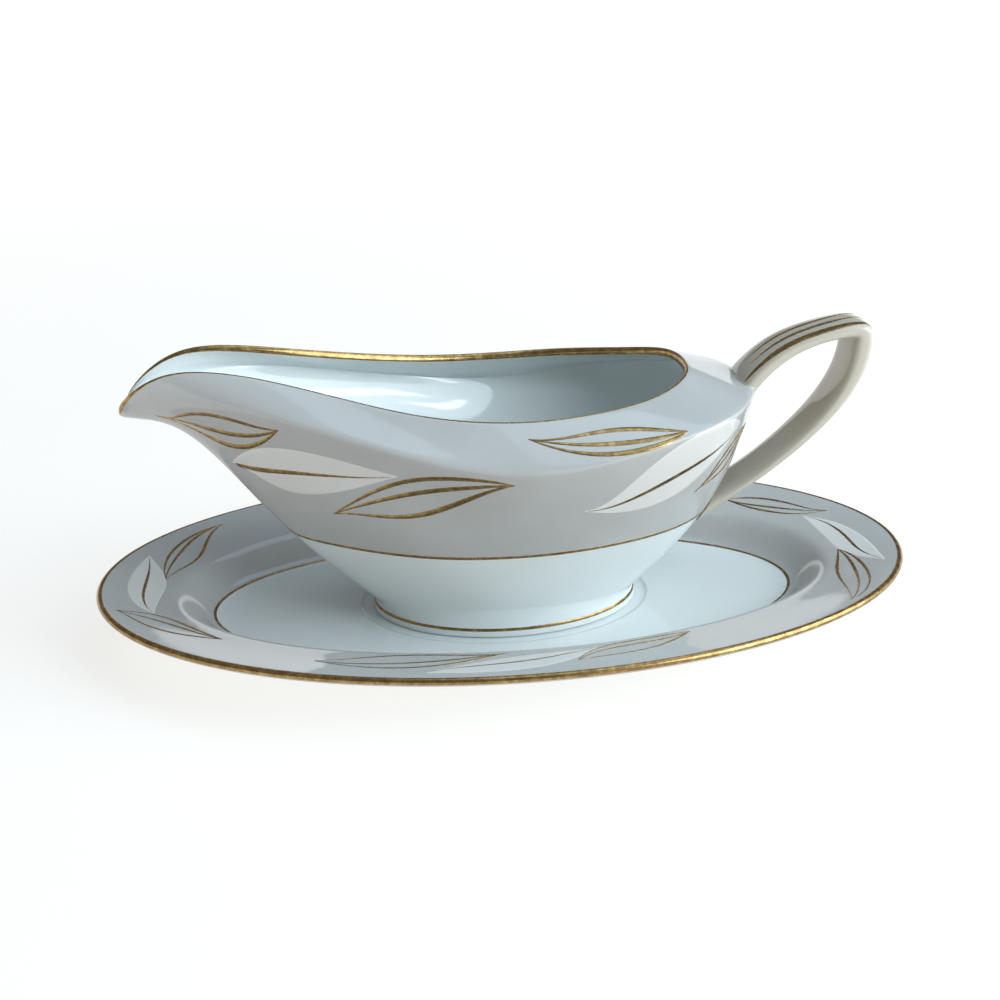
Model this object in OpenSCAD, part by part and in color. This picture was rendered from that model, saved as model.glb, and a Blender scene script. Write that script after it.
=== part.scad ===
// Gravy boat with a strap handle, standing loose in the seat of its oval underplate.
// Origin: middle of the underplate's foot, on the table. +Z up, spout towards -X, handle towards +X.
// All lengths are in millimetres and all angles in degrees.

/* [Underplate] */
// Length over the gilded rim
plate_length = 240; // [225:1:255]
// Width over the gilded rim
plate_width = 151; // [145:1:165]
// Height of the rim above the table
plate_height = 19.5; // [18:0.5:21]
// Height of the well floor above the table
well_height = 7; // [6.5:0.1:7.5]
// Thickness of the china between the well floor and the underside
well_thickness = 3.8; // [3.4:0.1:4.2]
// Radius of the rounded rim edge
plate_edge = 1.1; // [1:0.1:1.6]
// Width of the ground foot ring
plate_foot_width = 3.5; // [2.5:0.5:4.5]
// Depth of the seat that keeps the boat in the middle
seat_depth = 0.5; // [0.3:0.1:0.7]
// Play between the boat's foot and the edge of the seat
seat_play = 3; // [2:0.5:4]

/* [Boat] */
// Length of the boat's foot
foot_length = 79.4; // [74:0.2:84]
// Width of the boat's foot
foot_width = 57; // [54:0.5:60]
// Height of the straight foot ring
foot_height = 3.4; // [3:0.1:3.8]
// Rise of the waist above the foot ring, at the middle of each side
waist_rise = 3.6; // [2:0.2:5]
// Height of the belly line above the boat's foot
belly_height = 27.7; // [22:0.1:32]
// Wall thickness of the bowl
wall = 3; // [2.4:0.1:3.4]
// Wall thickness at the rim
rim_wall = 2.2; // [1.8:0.1:2.6]
// Thickness of the floor, measured from the top of the foot ring
floor_thickness = 3.4; // [3:0.1:5]
// Lift between the seat and the foot, left by the two glazes
seat_clearance = 0.1; // [0.05:0.05:0.3]

/* [Gilding] */
// Thickness of the fired gold above the glaze
gold_proud = 0.1; // [0.06:0.02:0.2]
// Depth of the gold bands inside the glaze
gold_sunk = 0.2; // [0.1:0.05:0.3]
// Width of the thin gold lines
line_width = 0.9; // [0.6:0.1:1.4]
// Width of gold on the flange, in from the rounded edge
plate_gold = 0.4; // [0.3:0.1:2]

/* [Detail] */
// Facets round the boat and the underplate
around = 96; // [48:12:120]
// Steps along the handle
handle_steps = 36; // [24:4:60]

/* [Hidden] */

china = [0.93, 0.94, 0.93];
pale_grey = [0.82, 0.84, 0.84];
bisque = [0.90, 0.88, 0.84];
gold = [0.80, 0.60, 0.25];

// Height at which the boat's foot stands
boat_z = well_height - seat_depth + seat_clearance;

// Rim of the boat, from the handle end to the spout tip: x, half width, height above the foot
rim_half = [
    [55, 0, 71], [53, 15.5, 71], [42, 28, 68], [23, 36, 67], [3, 37.5, 66],
    [-24.5, 32, 67.5], [-60.5, 16.5, 76], [-90, 14, 81], [-104.2, 12, 69.3], [-107.2, 0, 60.8]
];
// Shoulder of the boat, under the rim, the same way round
shoulder_half = [
    [75.3, 0, 62.9], [71.2, 19.3, 64.9], [60.3, 37.5, 64], [37.3, 48.6, 60.7], [10.6, 51.2, 55.9],
    [-15.2, 46.3, 57.5], [-47.9, 35.1, 66.6], [-82, 17.9, 72.8], [-102.8, 9.3, 69], [-107.2, 0, 60]
];
// Values at five places round the half boat: handle end, 45, 90, 135 degrees and spout tip.
// Slope of the side where it leaves the waist
waist_slope_half = [31, 63, 75, 43, 42];
// Slope of the side where it meets the shoulder
shoulder_slope_half = [90, 53, 64, 50, -11];
// Reach of those two slopes, as a share of the distance from waist to shoulder
waist_reach_half = [0.35, 0.28, 0.34, 0.45, 0.4];
shoulder_reach_half = [0.41, 0.32, 0.32, 0.26, 0.18];
// Softness of the shoulder edge outside, and inside the bowl
shoulder_soft_half = [2, 2, 2.5, 5, 3];
inside_soft_half = [7, 7, 7, 6, 4];
// Wall thickness as a share of the wall
wall_share_half = [1, 1, 1, 0.85, 0.72];

// Side outline of the strap handle, outer and inner, from the shoulder round to the lower root
strap_outer = [
    [65.5, 60.5], [71, 68], [80.9, 76.2], [94, 79.8], [103.8, 81.5], [108.5, 79.5],
    [106.6, 66], [98, 53.3], [84, 41], [70, 31.5], [58, 23.5]
];
strap_inner = [
    [71, 58], [75.3, 64.8], [83.4, 72.1], [94, 76], [102.4, 76.4], [100.9, 75.8],
    [100.4, 66.8], [93.6, 55], [82.2, 43.8], [72.8, 36.3], [63.5, 31.5]
];
strap_half_width = [10, 9.7, 9.4, 9.1, 8.8, 8.6, 8.5, 8.4, 8.4, 8.5, 8.6];
// Squareness of the strap's section: 2 is an oval, 4 a rounded bar
strap_square = 3.2;
// How far the strap's ends bow back to follow the boat's round wall, per square millimetre
strap_root_bow = 0.03;
strap_facets = 20;

// Gold stripes on the handle: first and last place along it, and side offset at root and tip
stripes = [[1.1, 4.3, 2.3, 4.9, 1.2], [1.15, 4.5, -2.7, 0.1, 1.2], [0.8, 4.85, -7.8, -5.8, 1.5]];
stripe_steps = 18;

// --- curves ---
function spline4(a, b, c, d, u) =
    ((1 - u)^3 * a + (3*u^3 - 6*u^2 + 4) * b + (-3*u^3 + 3*u^2 + 3*u + 1) * c + u^3 * d) / 6;
// Point on a closed spline, t from 0 to 1
function ring_at(ring, t) = let(n = len(ring), s = t * n, i = floor(s))
    spline4(ring[(i + n - 1) % n], ring[i % n], ring[(i + 1) % n], ring[(i + 2) % n], s - i);
// Point on an open spline that starts and ends at its first and last points
function path_at(path, t) = let(
        n = len(path),
        i = min(floor(t), n - 2),
        before = i == 0 ? 2 * path[0] - path[1] : path[i - 1],
        after = i == n - 2 ? 2 * path[n - 1] - path[n - 2] : path[i + 2]
    ) spline4(before, path[i], path[i + 1], after, t - i);
function unit(v) = v / norm(v);
function mirror_y(p) = [p[0], -p[1], p[2]];
function whole_ring(half) = concat(half, [for (i = [len(half) - 2:-1:1]) mirror_y(half[i])]);
function whole_values(half) = concat(half, [for (i = [len(half) - 2:-1:1]) half[i]]);
function value_at(half, k) = ring_at(whole_values(half), k / around);
function turn(k) = 360 * k / around;
function steps(from, to, n) = [for (i = [0:n]) from + (to - from) * i / n];
function tail(list) = [for (i = [1:len(list) - 1]) list[i]];
function reversed(list) = [for (i = [len(list) - 1:-1:0]) list[i]];

// --- solids from rows of points ---
function quads(rows, cols, closed) = [
    for (j = [0:rows - (closed ? 1 : 2)], k = [0:cols - 1], half = [0, 1]) let(
        a = j * cols + k,
        b = j * cols + (k + 1) % cols,
        d = ((j + 1) % rows) * cols + k,
        c = ((j + 1) % rows) * cols + (k + 1) % cols
    ) half == 0 ? [a, d, c] : [a, c, b]
];
// A flat end is one polygon
function flat_end(cols) = [[for (k = [0:cols - 1]) k]];
// A bowed end, whose points i and cols - i stand opposite each other, is a ladder of flat strips
function bowed_end(cols) = concat(
    [[0, 1, cols - 1], [cols / 2 - 1, cols / 2, cols / 2 + 1]],
    [for (i = [1:cols / 2 - 2]) [i, i + 1, cols - i - 1, cols - i]]
);
module closed_skin(rows, end) {
    cols = len(rows[0]);
    last = (len(rows) - 1) * cols;
    far_end = [for (face = end) [for (i = reversed(face)) last + i]];
    polyhedron([for (row = rows) each row], concat(quads(len(rows), cols, false), end, far_end));
}
module ring_skin(rows) {
    polyhedron([for (row = rows) each row], quads(len(rows), len(rows[0]), true));
}
// Outward normal of a grid of rows at row j, column k
function grid_normal(rows, j, k) = let(
        cols = len(rows[0]),
        along = rows[j][(k + 1) % cols] - rows[j][(k + cols - 1) % cols],
        up = rows[min(j + 1, len(rows) - 1)][k] - rows[max(j - 1, 0)][k]
    ) unit(cross(along, up));
function raised(rows, height) = [
    for (j = [0:len(rows) - 1]) [
        for (k = [0:len(rows[0]) - 1]) rows[j][k] + height * grid_normal(rows, j, k)
    ]
];
// Thin band that follows a strip of rows, sunk a little into the surface below it
module band(rows) {
    ring_skin(concat(raised(rows, gold_proud), reversed(raised(rows, -gold_sunk))));
}

// --- underplate ---
function oval(a, b, z) = [for (k = [0:around - 1]) [a * cos(turn(k)), b * sin(turn(k)), z]];
// Row of the underplate at a distance in from its rim
function plate_row(p) = let(in = p[0] + gold_proud) oval(plate_length / 2 - in, plate_width / 2 - in, p[1]);
underside_z = well_height - well_thickness;
foot_inset = 36.5;
flange_tilt = 10;
function edge_point(a) = [
    plate_edge - plate_edge * cos(a),
    plate_height - plate_edge + plate_edge * sin(a)
];
edge_low = edge_point(flange_tilt - 90);
edge_high = edge_point(flange_tilt + 90);
plate_under = [
    [foot_inset - 1.5, underside_z], [33, underside_z], [30.5, underside_z + 0.4],
    [27, underside_z + 3.8], [23.5, underside_z + 7.6], [20, underside_z + 9],
    [12, underside_z + 10.6], [edge_low[0] + 4, edge_low[1] - 4 * tan(flange_tilt)], edge_low
];
plate_top = [
    edge_high, [edge_high[0] + 4.5, edge_high[1] - 4.5 * tan(flange_tilt)], [13.5, 17], [20.5, 15.9],
    [23.5, 15], [27, 11.6], [30.5, 8.3], [33.5, well_height + 0.1], [38, well_height]
];
// Place of the gold line along plate_top
well_line = 6.72;
plate_top_pts = [for (t = concat([0, 0.4, 1.5, 2.5], steps(3, 8, 10))) path_at(plate_top, t)];
plate_under_pts = [for (t = steps(0, 8, 9)) path_at(plate_under, t)];
edge_step = 30;
plate_edge_pts = [for (a = [flange_tilt - 90:edge_step:flange_tilt + 90]) edge_point(a)];
seat_a = foot_length / 2 + seat_play;
seat_b = foot_width / 2 + seat_play;
seat_rows = [
    for (s = [0, 1, 2]) oval(seat_a + 0.6 - 0.6 * s, seat_b + 0.6 - 0.6 * s, well_height - seat_depth * s / 2)
];
plate_rows = concat(
    [for (p = plate_under_pts) plate_row(p)],
    [for (p = tail(plate_edge_pts)) plate_row(p)],
    [for (p = tail(plate_top_pts)) plate_row(p)],
    seat_rows
);

module underplate() {
    color(pale_grey) closed_skin(plate_rows, flat_end(around));
}

// Upright oval ring from height low to high, w wide inwards
module oval_ring(a, b, w, low, high) {
    translate([0, 0, low]) linear_extrude(height = high - low) difference() {
        polygon([for (p = oval(a, b, 0)) [p[0], p[1]]]);
        polygon([for (p = oval(a - w, b - w, 0)) [p[0], p[1]]]);
    }
}

module underplate_foot_ring() {
    a = plate_length / 2 - foot_inset;
    b = plate_width / 2 - foot_inset;
    color(bisque) oval_ring(a, b, plate_foot_width, 0, underside_z);
}

module underplate_rim_gilding() {
    on_flange = edge_high + plate_gold * [cos(flange_tilt), -sin(flange_tilt)];
    edge = tail(tail(plate_edge_pts));
    color(gold) band([for (p = concat(edge, [on_flange])) plate_row(p)]);
}

module underplate_well_gilding() {
    half = 0.5 * line_width / 3.2;
    color(gold) band([for (t = [well_line - half, well_line + half]) plate_row(path_at(plate_top, t))]);
}

// --- boat ---
foot_a = foot_length / 2;
foot_b = foot_width / 2;
foot_top_share = 0.979;
function foot_point(k) = [
    foot_a * foot_top_share * cos(turn(k)), foot_b * foot_top_share * sin(turn(k)), boat_z + foot_height
];
function waist_point(k) = let(s = sin(turn(k))) [
    (foot_a * foot_top_share - 0.2) * cos(turn(k)),
    (foot_b * foot_top_share - 0.5) * s,
    boat_z + foot_height + 0.2 + waist_rise * s * s
];
function lifted(p) = [p[0], p[1], p[2] + boat_z];
// Control points of one upright section, from the waist over the shoulder to the rim
function section(k, soft_half) = let(
        waist = waist_point(k),
        shoulder = lifted(ring_at(whole_ring(shoulder_half), k / around)),
        rim = lifted(ring_at(whole_ring(rim_half), k / around)),
        span = shoulder - waist,
        outward = unit([span[0], span[1], 0]),
        up = [0, 0, 1],
        a0 = value_at(waist_slope_half, k),
        a1 = value_at(shoulder_slope_half, k),
        leave = outward * cos(a0) + up * sin(a0),
        arrive = outward * cos(a1) + up * sin(a1),
        soft = value_at(soft_half, k),
        collar = rim - shoulder
    ) [
        waist,
        waist + value_at(waist_reach_half, k) * norm(span) * leave,
        shoulder - value_at(shoulder_reach_half, k) * norm(span) * arrive,
        shoulder - soft * arrive,
        shoulder,
        shoulder + min(soft, norm(collar) / 2) * unit(collar),
        rim
    ];
columns = [0:around - 1];
outside = [for (k = columns) section(k, shoulder_soft_half)];
inside = [for (k = columns) section(k, inside_soft_half)];
function rows_of(sections, places) = [for (t = places) [for (s = sections) path_at(s, t)]];

outer_rows = rows_of(outside, concat(steps(0, 3, 10), tail(steps(3, 5, 5)), tail(steps(5, 6, 2))));
// Place along a section at which the side reaches height z
function place_at_height(s, z, low = 0, high = 3, left = 20) = let(mid = (low + high) / 2)
    left == 0 ? mid
    : path_at(s, mid)[2] < z ? place_at_height(s, z, mid, high, left - 1)
    : place_at_height(s, z, low, mid, left - 1);
// The inside is the soft section moved in by the wall, from the rim down to just above the floor
floor_z = boat_z + foot_height + floor_thickness;
lowest = [for (s = inside) place_at_height(s, floor_z + 0.3)];
parent_rows = [
    for (f = steps(0, 1, 13)) [for (k = columns) path_at(inside[k], 6 - f * (6 - lowest[k]))]
];
function wall_at(j, k) =
    (j == 0 ? rim_wall : j == 1 ? (rim_wall + wall) / 2 : wall) * value_at(wall_share_half, k);
// parent_rows run downwards, so their grid normal points into the wall
inner_rows = [
    for (j = [0:len(parent_rows) - 1]) [
        for (k = columns) parent_rows[j][k] + wall_at(j, k) * grid_normal(parent_rows, j, k)
    ]
];
// The lip is a half round that joins the outer rim to the inner one
lip_bulge = 0.6;
function lip_point(k, a) = let(
        out = outside[k][6],
        in = inner_rows[0][k],
        up = unit(outside[k][6] - outside[k][5])
    ) (out + in) / 2 + (out - in) / 2 * cos(a) + lip_bulge * sin(a) * up;
lip_rows = [for (a = [45, 90, 135]) [for (k = columns) lip_point(k, a)]];
// The floor: the lowest inner row turns in to a flat oval
low_inner = inner_rows[len(inner_rows) - 1];
function floor_point(k, a) = let(
        p = low_inner[k],
        share = 1 - 0.14 * (1 - cos(a))
    ) [p[0] * share, p[1] * share, floor_z + (p[2] - floor_z) * (1 - sin(a))];
floor_rows = [for (a = [30, 60, 90]) [for (k = columns) floor_point(k, a)]];

module boat_body() {
    color(china) closed_skin(concat(
        [[for (k = columns) foot_point(k)]],
        outer_rows, lip_rows, inner_rows, floor_rows
    ), flat_end(around));
}

// The foot narrows upwards in level steps: start of each as a share of its height, and inset
foot_steps = [[0, 0.3], [0.12, 0], [0.56, 0.3], [0.83, 0.6], [1, 0]];
foot_wall = 3.8;
module boat_foot_ring() {
    color(china) for (i = [0:len(foot_steps) - 2]) let(in = foot_steps[i][1]) oval_ring(
        foot_a - in, foot_b - in, foot_wall - in,
        boat_z + foot_height * foot_steps[i][0], boat_z + foot_height * foot_steps[i + 1][0]
    );
}

module boat_foot_gilding() {
    in = foot_steps[2][1] - gold_proud;
    color(gold) oval_ring(
        foot_a - in, foot_b - in, gold_proud + gold_sunk,
        boat_z + foot_height * foot_steps[2][0], boat_z + foot_height * foot_steps[3][0]
    );
}

module boat_rim_gilding() {
    below = [for (k = columns) path_at(outside[k], 5.98)];
    inner_edge = [for (k = columns) inner_rows[0][k] * 0.86 + inner_rows[1][k] * 0.14];
    rim_row = [for (k = columns) outside[k][6]];
    color(gold) band(concat([below, rim_row], lip_rows, [inner_rows[0], inner_edge]));
}

module boat_belly_gilding() {
    z = boat_z + belly_height;
    color(gold) band([
        for (h = [-0.5, 0.5]) [
            for (s = outside) path_at(s, place_at_height(s, z + h * line_width))
        ]
    ]);
}

// --- handle ---
function strap_mid(t) = (path_at(strap_outer, t) + path_at(strap_inner, t)) / 2;
function strap_rise(t) = (path_at(strap_outer, t) - path_at(strap_inner, t)) / 2;
last_place = len(strap_outer) - 1;
function bow_at(t, y) = let(
        ahead = strap_mid(min(t + 0.05, last_place)) - strap_mid(max(t - 0.05, 0)),
        near_end = max(0, 1 - min(t, last_place - t) / 1.5),
        way = t < last_place / 2 ? -1 : 1
    ) way * near_end * strap_root_bow * y * y * unit(ahead);
function signed_power(v, p) = sign(v) * pow(abs(v), p);
// Point of the strap's skin: t along it, offset y to the side, share s of its half thickness
function strap_point(t, y, s) = let(p = strap_mid(t) + strap_rise(t) * s + bow_at(t, y))
    [p[0], y, p[1] + boat_z];
strap_rows = [
    for (t = steps(0, last_place, handle_steps)) [
        for (i = [0:strap_facets - 1]) let(
            a = 360 * i / strap_facets,
            w = path_at(strap_half_width, t)
        ) strap_point(t, w * signed_power(cos(a), 2 / strap_square), signed_power(sin(a), 2 / strap_square))
    ]
];

module boat_handle() {
    color(china) closed_skin(strap_rows, bowed_end(strap_facets));
}

// Height share of the strap's outer face at side offset y
function face_share(t, y) = pow(1 - pow(abs(y) / path_at(strap_half_width, t), strap_square), 1 / strap_square);
function stripe_corner(t, y, lift) = let(
        p = strap_point(t, y, face_share(t, y)),
        n = unit(strap_rise(t))
    ) p + lift * [n[0], 0, n[1]];
module stripe(s) {
    rows = [
        for (i = [0:stripe_steps]) let(
            f = i / stripe_steps,
            t = s[0] + (s[1] - s[0]) * f,
            y = s[2] + (s[3] - s[2]) * f,
            half = s[4] * (0.25 + 0.75 * sin(180 * f))
        ) [
            stripe_corner(t, y - half, gold_proud), stripe_corner(t, y - half, -gold_sunk),
            stripe_corner(t, y + half, -gold_sunk), stripe_corner(t, y + half, gold_proud)
        ]
    ];
    closed_skin(rows, flat_end(4));
}

module handle_gilding() {
    color(gold) for (s = stripes) stripe(s);
}

underplate();
underplate_foot_ring();
underplate_rim_gilding();
underplate_well_gilding();
boat_body();
boat_foot_ring();
boat_handle();
boat_rim_gilding();
boat_belly_gilding();
boat_foot_gilding();
handle_gilding();
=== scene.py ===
"""Gravy boat standing in its underplate: looks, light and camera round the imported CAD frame."""

import math

import bpy
import numpy as np
from mathutils import Matrix, Vector
from mathutils.bvhtree import BVHTree


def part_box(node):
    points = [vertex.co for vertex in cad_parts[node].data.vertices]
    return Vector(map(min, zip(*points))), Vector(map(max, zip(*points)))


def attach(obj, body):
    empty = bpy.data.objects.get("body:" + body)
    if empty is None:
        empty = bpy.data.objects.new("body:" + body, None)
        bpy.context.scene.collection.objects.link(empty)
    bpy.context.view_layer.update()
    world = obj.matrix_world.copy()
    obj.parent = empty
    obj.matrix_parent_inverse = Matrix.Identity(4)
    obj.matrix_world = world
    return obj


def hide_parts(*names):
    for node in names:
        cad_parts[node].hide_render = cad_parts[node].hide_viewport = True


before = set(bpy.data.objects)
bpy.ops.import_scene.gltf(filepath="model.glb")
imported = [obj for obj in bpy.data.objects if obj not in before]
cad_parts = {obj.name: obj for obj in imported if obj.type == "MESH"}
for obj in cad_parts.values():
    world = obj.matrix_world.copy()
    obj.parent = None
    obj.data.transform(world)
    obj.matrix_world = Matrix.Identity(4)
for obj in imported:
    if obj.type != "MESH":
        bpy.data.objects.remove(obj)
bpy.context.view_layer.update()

MM = 0.001
AROUND = 480

# --- splines, the same as the CAD source's, in millimetres ---


def blend4(a, b, c, d, u):
    """Uniform cubic B-spline over four control points."""
    return (
        (1 - u) ** 3 * a
        + (3 * u**3 - 6 * u**2 + 4) * b
        + (-3 * u**3 + 3 * u**2 + 3 * u + 1) * c
        + u**3 * d
    ) / 6


def ring_at(ring, turn):
    """Points on a closed spline at shares of a turn."""
    ring = np.asarray(ring, float)
    n = len(ring)
    s = np.mod(turn, 1.0) * n
    i = np.floor(s).astype(int)
    u = (s - i)[:, None]
    return blend4(ring[(i - 1) % n], ring[i % n], ring[(i + 1) % n], ring[(i + 2) % n], u)


def path_at(paths, t):
    """Point t along each of m open splines: paths is (m, n, d), or (1, n, d) for one shared path."""
    t = np.asarray(t, float)
    n = paths.shape[1]
    before = 2 * paths[:, :1] - paths[:, 1:2]
    after = 2 * paths[:, -1:] - paths[:, -2:-1]
    p = np.concatenate([before, paths, after], axis=1)
    i = np.clip(np.floor(t).astype(int), 0, n - 2)
    u = (t - i)[:, None]
    m = np.arange(len(t)) if len(paths) > 1 else np.zeros(len(t), int)
    return blend4(p[m, i], p[m, i + 1], p[m, i + 2], p[m, i + 3], u)


def along(path, t):
    """Points of one shared path, given as a list of points or numbers."""
    p = np.asarray(path, float)
    p = p[:, None] if p.ndim == 1 else p
    return path_at(p[None], np.atleast_1d(np.asarray(t, float)))


def unit(v):
    """Vectors of length 1."""
    return v / np.maximum(np.linalg.norm(v, axis=-1, keepdims=True), 1e-12)


def whole_ring(half):
    """Control points of a ring that is symmetric about the long axis, from those of one side."""
    half = np.asarray(half, float)
    return np.concatenate([half, half[-2:0:-1] * [1, -1, 1]])


def value_at(half, turn):
    """A number that changes smoothly round the boat, the same on both sides of the long axis."""
    half = np.asarray(half, float)
    return ring_at(np.concatenate([half, half[-2:0:-1]])[:, None], turn)[:, 0]


# --- boat surface ---
foot_lo, foot_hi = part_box("boat_foot_ring")
BOAT_Z = foot_lo[2] / MM
FOOT_A = (foot_hi[0] - foot_lo[0]) / 2 / MM
FOOT_B = (foot_hi[1] - foot_lo[1]) / 2 / MM
FOOT_H = (foot_hi[2] - foot_lo[2]) / MM
FOOT_SHARE = 0.979
WAIST_RISE, WAIST_GAP = 3.6, 0.2
WAIST_INSET_A, WAIST_INSET_B = 0.2, 0.5
WALL, RIM_WALL, FLOOR = 3.0, 2.2, 3.4
RIM = [
    [55, 0, 71], [53, 15.5, 71], [42, 28, 68], [23, 36, 67], [3, 37.5, 66],
    [-24.5, 32, 67.5], [-60.5, 16.5, 76], [-90, 14, 81], [-104.2, 12, 69.3], [-107.2, 0, 60.8],
]
SHOULDER = [
    [75.3, 0, 62.9], [71.2, 19.3, 64.9], [60.3, 37.5, 64], [37.3, 48.6, 60.7], [10.6, 51.2, 55.9],
    [-15.2, 46.3, 57.5], [-47.9, 35.1, 66.6], [-82, 17.9, 72.8], [-102.8, 9.3, 69], [-107.2, 0, 60],
]
WAIST_SLOPE = [31, 63, 75, 43, 42]
SHOULDER_SLOPE = [90, 53, 64, 50, -11]
WAIST_REACH = [0.35, 0.28, 0.34, 0.45, 0.4]
SHOULDER_REACH = [0.41, 0.32, 0.32, 0.26, 0.18]
SHOULDER_SOFT = [2, 2, 2.5, 5, 3]
INSIDE_SOFT = [7, 7, 7, 6, 4]
WALL_SHARE = [1, 1, 1, 0.85, 0.72]
SIDE_T, SHOULDER_END_T, RIM_T = 3, 5, 6


def sections(turn, soft_half):
    """Control points of the boat's upright sections at shares of a turn, as (m, 7, 3)."""
    a = 2 * np.pi * turn
    s = np.sin(a)
    waist = np.stack([
        (FOOT_A * FOOT_SHARE - WAIST_INSET_A) * np.cos(a),
        (FOOT_B * FOOT_SHARE - WAIST_INSET_B) * s,
        BOAT_Z + FOOT_H + WAIST_GAP + WAIST_RISE * s * s,
    ], -1)
    lift = np.array([0, 0, BOAT_Z])
    shoulder = ring_at(whole_ring(SHOULDER), turn) + lift
    rim = ring_at(whole_ring(RIM), turn) + lift
    span = shoulder - waist
    reach = np.linalg.norm(span, axis=1)[:, None]
    outward = unit(span * [1, 1, 0])
    up = np.array([0, 0, 1.0])

    def direction(slope):
        r = np.radians(value_at(slope, turn))[:, None]
        return outward * np.cos(r) + up * np.sin(r)

    arrive = direction(SHOULDER_SLOPE)
    soft = value_at(soft_half, turn)[:, None]
    collar = rim - shoulder
    on_collar = np.minimum(soft, np.linalg.norm(collar, axis=1)[:, None] / 2)
    return np.stack([
        waist,
        waist + value_at(WAIST_REACH, turn)[:, None] * reach * direction(WAIST_SLOPE),
        shoulder - value_at(SHOULDER_REACH, turn)[:, None] * reach * arrive,
        shoulder - soft * arrive,
        shoulder,
        shoulder + on_collar * unit(collar),
        rim,
    ], 1)


def boat_at(turn, t):
    """Point on the boat's outside."""
    return path_at(sections(np.asarray(turn, float), SHOULDER_SOFT), t)


# --- underplate surface ---
plate_lo, plate_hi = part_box("underplate_rim_gilding")
PLATE_A = (plate_hi[0] - plate_lo[0]) / 2 / MM
PLATE_B = (plate_hi[1] - plate_lo[1]) / 2 / MM
PLATE_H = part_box("underplate")[1][2] / MM
WELL, PLATE_WALL, PLATE_EDGE, TILT = 7.0, 3.8, 1.1, 10
PROUD = 0.1
PLATE_FOOT = 36.5
UNDERSIDE = WELL - PLATE_WALL


def edge_point(degrees):
    """Inset and height of a point of the underplate's rounded edge."""
    a = math.radians(degrees)
    return [PLATE_EDGE - PLATE_EDGE * math.cos(a), PLATE_H - PLATE_EDGE + PLATE_EDGE * math.sin(a)]


EDGE_LOW, EDGE_HIGH = edge_point(TILT - 90), edge_point(TILT + 90)
FLANGE_FALL = math.tan(math.radians(TILT))
PLATE_UNDER = [
    [PLATE_FOOT - 1.5, UNDERSIDE], [33, UNDERSIDE], [30.5, UNDERSIDE + 0.4],
    [27, UNDERSIDE + 3.8], [23.5, UNDERSIDE + 7.6], [20, UNDERSIDE + 9],
    [12, UNDERSIDE + 10.6], [EDGE_LOW[0] + 4, EDGE_LOW[1] - 4 * FLANGE_FALL], EDGE_LOW,
]
PLATE_TOP = [
    EDGE_HIGH, [EDGE_HIGH[0] + 4.5, EDGE_HIGH[1] - 4.5 * FLANGE_FALL], [13.5, 17], [20.5, 15.9],
    [23.5, 15], [27, 11.6], [30.5, 8.3], [33.5, WELL + 0.1], [38, WELL],
]
WELL_LINE_T = 6.72
SEAT_A, SEAT_B, SEAT_DEPTH = FOOT_A + 3, FOOT_B + 3, 0.5


def plate_point(inset_z, turn):
    """Points of the underplate at insets from its rim and heights, at shares of a turn."""
    inset = inset_z[:, 0] + PROUD
    a = 2 * np.pi * np.asarray(turn, float)
    return np.stack([(PLATE_A - inset) * np.cos(a), (PLATE_B - inset) * np.sin(a), inset_z[:, 1]], -1)


def plate_at(turn, t):
    """Point on the underplate's upper face."""
    return plate_point(along(PLATE_TOP, t), turn)


# --- handle surface ---
STRAP_OUTER = [
    [65.5, 60.5], [71, 68], [80.9, 76.2], [94, 79.8], [103.8, 81.5], [108.5, 79.5],
    [106.6, 66], [98, 53.3], [84, 41], [70, 31.5], [58, 23.5],
]
STRAP_INNER = [
    [71, 58], [75.3, 64.8], [83.4, 72.1], [94, 76], [102.4, 76.4], [100.9, 75.8],
    [100.4, 66.8], [93.6, 55], [82.2, 43.8], [72.8, 36.3], [63.5, 31.5],
]
STRAP_HALF = [10, 9.7, 9.4, 9.1, 8.8, 8.6, 8.5, 8.4, 8.4, 8.5, 8.6]
STRAP_SQUARE, STRAP_BOW, STRAP_END = 3.2, 0.03, 10


def strap_at(t, y, s):
    """Point of the strap: t along it, side offset y, share s of its half thickness."""
    t, y, s = np.broadcast_arrays(*(np.asarray(v, float) for v in (t, y, s)))
    outer, inner = along(STRAP_OUTER, t), along(STRAP_INNER, t)
    mid, rise = (outer + inner) / 2, (outer - inner) / 2
    step = 0.05

    def mid_at(v):
        return (along(STRAP_OUTER, v) + along(STRAP_INNER, v)) / 2

    ahead = unit(mid_at(np.minimum(t + step, STRAP_END)) - mid_at(np.maximum(t - step, 0)))
    near_end = np.maximum(0, 1 - np.minimum(t, STRAP_END - t) / 1.5)
    way = np.where(t < STRAP_END / 2, -1, 1)
    p = mid + rise * s[:, None] + (way * near_end * STRAP_BOW * y * y)[:, None] * ahead
    return np.stack([p[:, 0], y, p[:, 1] + BOAT_Z], -1)


def strap_top(t, y):
    """Points on the strap's outer face at places t along it and side offsets y."""
    half = along(STRAP_HALF, t)[:, 0]
    share = (1 - np.minimum(np.abs(y) / half, 0.999) ** STRAP_SQUARE) ** (1 / STRAP_SQUARE)
    return strap_at(t, y, share)


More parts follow.
